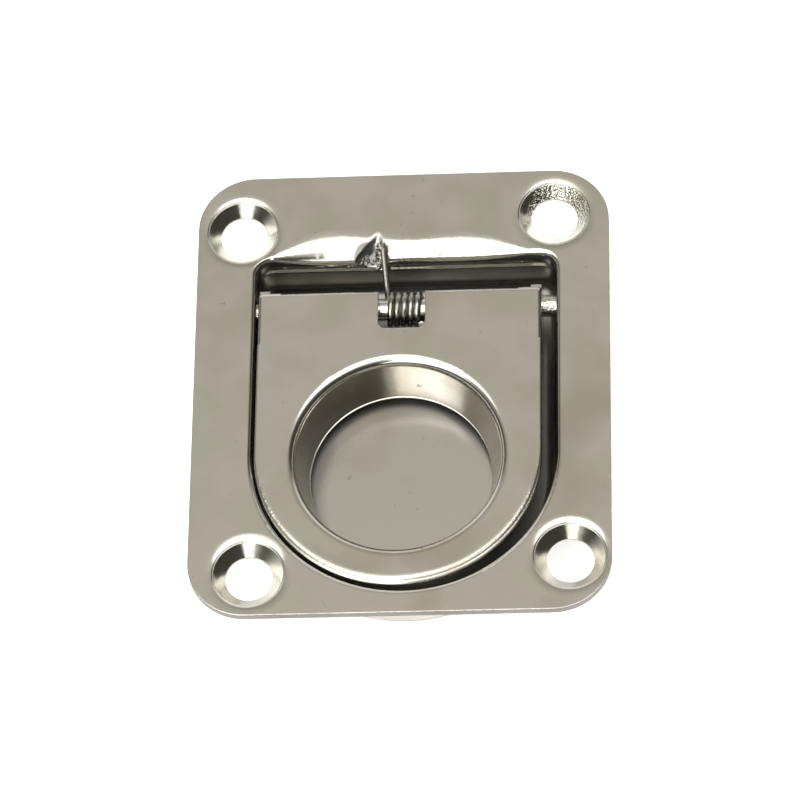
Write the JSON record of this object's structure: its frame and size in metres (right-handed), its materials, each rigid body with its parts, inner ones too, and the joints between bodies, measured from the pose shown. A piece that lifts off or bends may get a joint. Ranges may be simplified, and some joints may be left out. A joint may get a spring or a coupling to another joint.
{
  "type": "flush pull handle",
  "caption": "Recessed lift handle of stamped steel: a plate with a drawn pan, and a sprung flap with a round finger hole that closes flush in it.",
  "frame": {"origin": "centre of the four screw holes, on the face of the plate that lies against the panel", "axes": "+X across the plate, +Y towards the hinge end, +Z out of the panel"},
  "size_m": [0.055, 0.065, 0.0098],
  "materials": {
    "plate_steel": "bright rolled stainless sheet with fine scratches",
    "flap_steel": "bright rolled stainless sheet with fine scratches",
    "pin_steel": "drawn bright steel",
    "spring_wire": "drawn spring wire"
  },
  "bodies": {
    "base": {"base_plate": "plate_steel", "hinge_pin": "pin_steel", "torsion_spring": "spring_wire"},
    "flap": {"flap": "flap_steel"}
  },
  "joints": [
    {"name": "flap_hinge", "type": "hinge", "parent": "base", "child": "flap", "pos_m": [0, 0.01385, -0.002], "axis": [-1, 0, 0], "range_deg": [0, 90], "stiffness_Nm_per_rad": 0.08, "springref_deg": -20.05, "deforming": ["torsion_spring"]}
  ]
}
